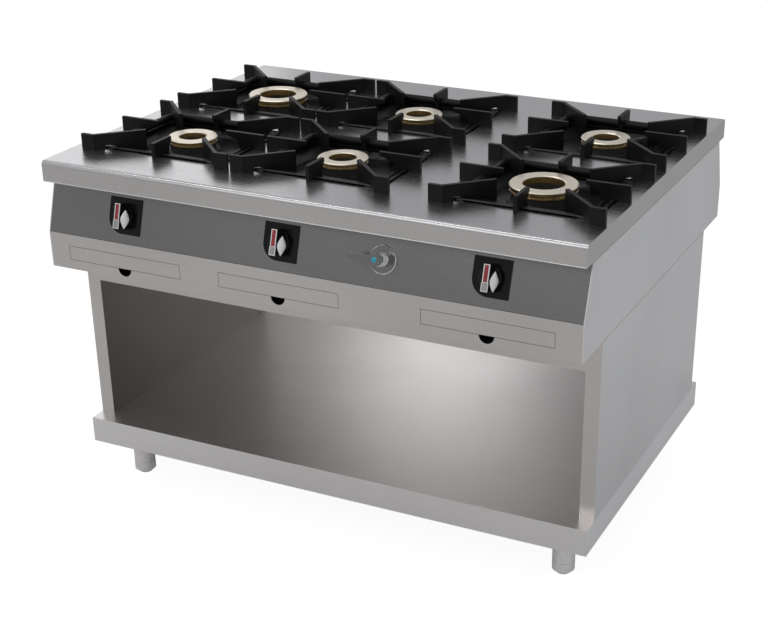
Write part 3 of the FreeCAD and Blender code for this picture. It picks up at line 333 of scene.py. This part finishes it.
# Painted reflection: the tap's faces that look straight out of the panel get the dark copy of the
# chrome.
for node_name in ("tap_body", "tap_lever"):
    paint(nodes[node_name], CHROME_PAINTED_DARK,
          lambda normal, centre: normal.dot(PANEL_OUT) > ALMOST_EXACT)


# ---------------------------------------------------------------- meshes

def make_piece(name, mesh, material, place, smooth_under=30.0):
    """An object from a bmesh, moved to its place; edges under an angle in degrees are smooth."""
    bmesh.ops.recalc_face_normals(mesh, faces=mesh.faces)
    data = bpy.data.meshes.new(name)
    mesh.to_mesh(data)
    mesh.free()
    data.materials.append(material)
    data.transform(place)
    data.shade_smooth()
    data.set_sharp_from_angle(angle=math.radians(smooth_under))
    piece = bpy.data.objects.new(name, data)
    scene.collection.objects.link(piece)
    return piece


def add_band(mesh, low, high):
    """A closed band of faces between two rings of as many points."""
    for index in range(len(low)):
        after = (index + 1) % len(low)
        mesh.faces.new((low[index], low[after], high[after], high[index]))


def add_plate(mesh, outline, low, high, chamfer=0.0003):
    """A thin plate with chamfered upper edges, from an outline in the panel's plane."""
    middle = sum((Vector(point) for point in outline), Vector((0.0, 0.0))) / len(outline)
    rings = []
    for height, inset in ((low, 0.0), (high - chamfer, 0.0), (high, chamfer)):
        ring = []
        for point in outline:
            inward = (middle - Vector(point)).normalized() * inset
            ring.append(mesh.verts.new((point[0] + inward.x, point[1] + inward.y, height)))
        rings.append(ring)
    for lower, upper in zip(rings, rings[1:]):
        add_band(mesh, lower, upper)
    mesh.faces.new(rings[-1])
    mesh.faces.new(list(reversed(rings[0])))


def add_turned(mesh, profile, steps):
    """A closed ring turned about Z from (radius, height) pairs."""
    rings = []
    for step in range(steps):
        angle = 2.0 * math.pi * step / steps
        rings.append([mesh.verts.new((radius * math.cos(angle), radius * math.sin(angle), height))
                      for radius, height in profile])
    for ring, following in zip(rings, rings[1:] + rings[:1]):
        for index in range(len(profile)):
            after = (index + 1) % len(profile)
            mesh.faces.new((ring[index], following[index], following[after], ring[after]))


# ---------------------------------------------------------------- trim on the panels

def panel_frame(x, side):
    """The frame on a control panel: X along it, Y up its slope, Z out of it."""
    turn = 1.0 if side == "front" else -1.0
    along = Vector((turn, 0.0, 0.0))
    out = Vector((0.0, turn * PANEL_OUT.y, PANEL_OUT.z))
    up = out.cross(along)
    place = Vector((x, -turn * (HALF_DEPTH - PANEL_SETBACK / 2), SLAB_UNDER - PANEL_RISE / 2))
    return Matrix.Translation(place) @ Matrix((along, up, out)).transposed().to_4x4()


def leaf_rows():
    """Each row's place up the grip and the two borders of a pointed leaf that leans off a flank."""
    for row in range(LEAF_ROWS + 1):
        along = -1.0 + 2.0 * row / LEAF_ROWS
        reach = LEAF_HALF_WIDTH * (1.0 - abs(along) ** LEAF_POINT)
        place_y = LEAF_MIDDLE.y + along * LEAF_HALF_LENGTH
        upper = (LEAF_MIDDLE.x - LEAF_LEAN.x * reach, LEAF_MIDDLE.z + LEAF_LEAN.y * reach)
        lower = (LEAF_MIDDLE.x + LEAF_LEAN.x * reach, LEAF_MIDDLE.z - LEAF_LEAN.y * reach)
        yield place_y, upper, lower


def add_leaf(mesh):
    """The bright leaf of painted highlight on a chrome flank: it swells a little between its
    borders and has a flat back.
    """
    front, back = [], []
    for place_y, upper, lower in leaf_rows():
        width = math.dist(upper, lower) / (2.0 * LEAF_HALF_WIDTH)
        line_front, line_back = [], []
        for column in range(LEAF_COLUMNS + 1):
            share = column / LEAF_COLUMNS
            x = upper[0] + (lower[0] - upper[0]) * share
            z = upper[1] + (lower[1] - upper[1]) * share
            swell = LEAF_SWELL * width * (1.0 - (2.0 * share - 1.0) ** 2)
            line_front.append(mesh.verts.new((x + LEAF_LEAN.y * swell, place_y,
                                              z + LEAF_LEAN.x * swell)))
            line_back.append(mesh.verts.new((x - LEAF_LEAN.y * LEAF_THICK, place_y,
                                             z - LEAF_LEAN.x * LEAF_THICK)))
        front.append(line_front)
        back.append(line_back)
    for row in range(LEAF_ROWS):
        for column in range(LEAF_COLUMNS):
            for grid in (front, back):
                mesh.faces.new((grid[row][column], grid[row][column + 1],
                                grid[row + 1][column + 1], grid[row + 1][column]))
        for column in (0, LEAF_COLUMNS):
            mesh.faces.new((front[row][column], front[row + 1][column],
                            back[row + 1][column], back[row][column]))
    for row in (0, -1):
        for column in range(LEAF_COLUMNS):
            mesh.faces.new((front[row][column], front[row][column + 1],
                            back[row][column + 1], back[row][column]))
    bmesh.ops.dissolve_degenerate(mesh, dist=LEAST_EDGE, edges=mesh.edges)


def add_cheek(mesh):
    """The black web that carries the leaf of painted highlight between the grip's flank and the
    skirt.
    """
    rings = []
    for place_y, upper, lower in leaf_rows():
        outline = (upper, lower, (lower[0], KNOB_SKIRT_TOP), (GRIP_FLANK, KNOB_SKIRT_TOP),
                   (GRIP_FLANK, upper[1]))
        rings.append([mesh.verts.new((x, place_y, z - LEAF_THICK)) for x, z in outline])
    for low, high in zip(rings, rings[1:]):
        add_band(mesh, low, high)
    mesh.faces.new(rings[0])
    mesh.faces.new(rings[-1])
    bmesh.ops.dissolve_degenerate(mesh, dist=LEAST_EDGE, edges=mesh.edges)


def make_knob_trim(column, side):
    """A knob's face plate with its stripe and its lower inlay, and the leaf of painted highlight on
    its cheek.
    """
    place = panel_frame(KNOB_X[column], side)
    body = "control_%s_%s" % (column, side)
    plate, stripe, lower, leaf, cheek = (bmesh.new() for _ in range(5))
    add_plate(plate, PLATE_OUTLINE, GRIP_FACE, PLATE_TOP)
    add_plate(stripe, STRIPE_OUTLINE, INLAY_BOTTOM, INLAY_TOP)
    add_plate(lower, LOWER_OUTLINE, INLAY_BOTTOM, INLAY_TOP)
    add_leaf(leaf)
    add_cheek(cheek)
    for part, mesh, material in (("plate", plate, SATIN), ("stripe", stripe, RED_TRIM),
                                 ("lower", lower, GREY_TRIM), ("leaf", leaf, LEAF_PAINTED_HIGHLIGHT),
                                 ("cheek", cheek, KNOB)):
        piece = make_piece("knob_%s_%s_%s" % (part, column, side), mesh, material, place)
        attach(piece, body)


def make_tap_trim():
    """The rolled rim of the tap's rose, the ribs round its barrel and the dot on its lever."""
    place = panel_frame(TAP_X, "front")
    rim = bmesh.new()
    add_turned(rim, TAP_RIM, steps=96)
    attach(make_piece("tap_rim", rim, CHROME, place, 50.0), "range_frame")
    ribs = bmesh.new()
    outline = [(RIB_BORE, RIB_SPAN[0])]
    for rib in range(RIB_COUNT):
        start = RIB_FIRST + RIB_PITCH * rib
        outline += [(RIB_FOOT, start), (RIB_CREST, start + RIB_SLOPE),
                    (RIB_CREST, start + RIB_HEIGHT - RIB_SLOPE), (RIB_FOOT, start + RIB_HEIGHT)]
    outline.append((RIB_BORE, RIB_SPAN[1]))
    add_turned(ribs, outline, steps=72)
    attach(make_piece("tap_ribs", ribs, CHROME, place), "range_frame")
    dot = bmesh.new()
    add_turned(dot, TAP_DOT, steps=48)
    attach(make_piece("tap_dot", dot, BLUE_DOT, place, 60.0), "lever")


# ---------------------------------------------------------------- trim on the worktop

def well_place(column, side):
    """The place on the worktop at the middle of a well."""
    return Matrix.Translation((WELL_X[column], WELL_Y[side], TOP_HEIGHT))


def rounded_corners(half_x, half_y, radius, steps=8):
    """Points round a rectangle with round corners, anticlockwise."""
    for quarter, (sign_x, sign_y) in enumerate(((1, 1), (-1, 1), (-1, -1), (1, -1))):
        for step in range(steps + 1):
            angle = math.pi / 2 * (quarter + step / steps)
            yield (sign_x * (half_x - radius) + radius * math.cos(angle),
                   sign_y * (half_y - radius) + radius * math.sin(angle))


def make_rim(column, side):
    """The rolled black rim of a well, low enough for the arches of the pan support."""
    mesh = bmesh.new()
    rings = []
    for inset, height in RIM_SECTION:
        radius = max(RIM_CORNER - inset, RIM_CORNER_LEAST)
        rings.append([mesh.verts.new((x, y, height)) for x, y in
                      rounded_corners(RIM_HALF_X - inset, RIM_HALF_Y - inset, radius)])
    for ring, following in zip(rings, rings[1:] + rings[:1]):
        add_band(mesh, ring, following)
    place = well_place(column, side)
    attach(make_piece("rim_%s_%s" % (column, side), mesh, ENAMEL, place, 50.0), "range_frame")


def add_web(mesh, start, end, top):
    """An upright slab between two places on the worktop, as thick as a fin."""
    start, end = Vector(start), Vector(end)
    along = (end - start).normalized()
    across = Vector((-along.y, along.x)) * WEB_HALF_THICK
    corners = (start + across, start - across, end - across, end + across)
    low = [mesh.verts.new((corner.x, corner.y, WEB_BOTTOM)) for corner in corners]
    high = [mesh.verts.new((corner.x, corner.y, top)) for corner in corners]
    mesh.faces.new(low)
    mesh.faces.new(high)
    add_band(mesh, low, high)


def make_shade_webs(column, side):
    """Low black webs that close the outer half of each arch, beyond the rim of the well: painted
    shade for the shade and dark reflection under the arches.
    """
    mesh = bmesh.new()
    for sign in (-1.0, 1.0):
        add_web(mesh, (sign * (RIM_HALF_X + WEB_FROM_RIM), 0.0), (sign * WEB_END_X, 0.0), WEB_TOP_X)
        add_web(mesh, (0.0, sign * (RIM_HALF_Y + WEB_FROM_RIM)), (0.0, sign * WEB_END_Y), WEB_TOP_Y)
        for sign_y in (-1.0, 1.0):
            add_web(mesh, (sign * (SLANT_START + FIN_SHIFT), sign_y * SLANT_START),
                    (sign * (SLANT_END + FIN_SHIFT), sign_y * SLANT_END), SLANT_TOP)
    place = well_place(column, side)
    piece = make_piece("webs_%s_%s" % (column, side), mesh, IRON, place)
    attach(piece, "support_%s_%s" % (column, side))


def make_hem(name, y):
    """The rounded hem along the lower edge of the worktop's front or rear skirt."""
    mesh = bmesh.new()
    ends = []
    for x in (-HEM_HALF_LENGTH, HEM_HALF_LENGTH):
        angles = [2.0 * math.pi * step / HEM_STEPS for step in range(HEM_STEPS)]
        ends.append([mesh.verts.new((x, HEM_RADIUS * math.cos(angle), HEM_RADIUS * math.sin(angle)))
                     for angle in angles])
    add_band(mesh, ends[0], ends[1])
    mesh.faces.new(ends[0])
    mesh.faces.new(ends[1])
    place = Matrix.Translation((0.0, y, HEM_HEIGHT))
    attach(make_piece(name, mesh, HEM, place, 50.0), "range_frame")


def soften(node, width, material_index):
    """Rounds the sharp edges of a node's look with bright narrow bevels."""
    weld = node.modifiers.new("weld", "WELD")
    weld.merge_threshold = 0.00001
    bevel = node.modifiers.new("bevel", "BEVEL")
    bevel.width = width
    bevel.segments = 2
    bevel.limit_method = "ANGLE"
    bevel.angle_limit = math.radians(50.0)
    bevel.material = material_index


for column_name in COLUMNS:
    for side_name in SIDES:
        make_knob_trim(column_name, side_name)
        make_rim(column_name, side_name)
        make_shade_webs(column_name, side_name)
make_tap_trim()
make_hem("hem_front", -HALF_DEPTH)
make_hem("hem_rear", HALF_DEPTH)
soften(nodes["tap_lever"], width=0.0008, material_index=0)


# ---------------------------------------------------------------- floor, light and camera

def choose_by_camera(tree, output, for_light, for_camera):
    """Sends one shader to the camera's own rays and the other to all the rest."""
    path = tree.nodes.new("ShaderNodeLightPath")
    mix = tree.nodes.new("ShaderNodeMixShader")
    tree.links.new(path.outputs["Is Camera Ray"], mix.inputs["Fac"])
    tree.links.new(for_light.outputs[0], mix.inputs[1])
    tree.links.new(for_camera.outputs[0], mix.inputs[2])
    tree.links.new(mix.outputs[0], output.inputs["Surface"])


def backdrop_material():
    """Near-white for what is seen, plain grey for the light that it sends back."""
    material = bpy.data.materials.new("backdrop")
    material.use_nodes = True
    tree = material.node_tree
    tree.nodes.clear()
    output = tree.nodes.new("ShaderNodeOutputMaterial")
    plain = tree.nodes.new("ShaderNodeBsdfDiffuse")
    plain.inputs["Color"].default_value = (0.80, 0.80, 0.80, 1.0)
    glow = tree.nodes.new("ShaderNodeEmission")
    glow.inputs["Color"].default_value = (1.0, 1.0, 1.0, 1.0)
    glow.inputs["Strength"].default_value = 0.92
    shaded = tree.nodes.new("ShaderNodeBsdfDiffuse")
    shaded.inputs["Color"].default_value = (0.22, 0.22, 0.22, 1.0)
    seen = tree.nodes.new("ShaderNodeAddShader")
    tree.links.new(glow.outputs[0], seen.inputs[0])
    tree.links.new(shaded.outputs[0], seen.inputs[1])
    choose_by_camera(tree, output, plain, seen)
    return material


def make_floor():
    """A wide plane under the feet."""
    bpy.ops.mesh.primitive_plane_add(size=40.0, location=(0.0, 0.0, 0.0))
    floor = bpy.context.object
    floor.name = "floor"
    floor.data.materials.append(backdrop_material())


def make_world():
    """The plain background for the camera, a soft grey dome for light and reflections."""
    world = bpy.data.worlds.new("studio")
    scene.world = world
    world.use_nodes = True
    tree = world.node_tree
    tree.nodes.clear()
    output = tree.nodes.new("ShaderNodeOutputWorld")
    seen = tree.nodes.new("ShaderNodeBackground")
    seen.inputs["Strength"].default_value = 1.0
    dome = tree.nodes.new("ShaderNodeBackground")
    dome.inputs["Color"].default_value = (0.97, 0.98, 1.0, 1.0)
    dome.inputs["Strength"].default_value = 0.50
    choose_by_camera(tree, output, dome, seen)


def area_light(name, place, target, size, power, opening=180.0):
    """A rectangular lamp in watts that the camera doesn't see; its opening is in degrees."""
    data = bpy.data.lights.new(name, "AREA")
    data.spread = math.radians(opening)
    data.shape = "RECTANGLE"
    data.size, data.size_y = size
    data.energy = power
    lamp = bpy.data.objects.new(name, data)
    lamp.visible_camera = False
    scene.collection.objects.link(lamp)
    lamp.location = place
    lamp.rotation_euler = (Vector(target) - Vector(place)).to_track_quat("-Z", "Y").to_euler()


def make_camera():
    """The photograph's view: place, direction and shift of the fitted camera."""
    data = bpy.data.cameras.new("camera")
    data.sensor_fit = "HORIZONTAL"
    data.sensor_width = 36.0
    data.lens = 71.284
    data.shift_x = -0.06929
    data.shift_y = 0.11970
    data.clip_end = 100.0
    camera = bpy.data.objects.new("camera", data)
    scene.collection.objects.link(camera)
    place = Vector((1.43428, -2.85739, 1.72778))
    right = Vector((0.90575, 0.42381, -0.00233)).normalized()
    back = Vector((0.38118, -0.81222, 0.44160)).normalized()
    up = back.cross(right).normalized()
    right = up.cross(back)
    turn = Matrix((right, up, back)).transposed().to_4x4()
    camera.matrix_world = Matrix.Translation(place) @ turn
    scene.camera = camera


make_floor()
make_world()
area_light("key", place=(-0.9, -3.4, 3.2), target=(0.1, 0.1, 0.3), size=(3.0, 2.0), power=22.0)
area_light("sheen", place=(-3.4, 3.3, 2.3), target=(-0.4, -0.3, 0.8), size=(2.0, 1.4), power=7.0)
area_light("nose", place=(-0.91, -0.39, 2.99), target=(-0.91, -0.39, 0.0), size=(2.4, 0.22),
           power=9.0)
area_light("bay", place=(-0.30, -0.27, 0.478), target=(-0.18, 0.34, 0.38), size=(0.50, 0.05),
           power=0.62, opening=125.0)
make_camera()
scene.view_settings.view_transform = "Standard"

bpy.context.view_layer.update()
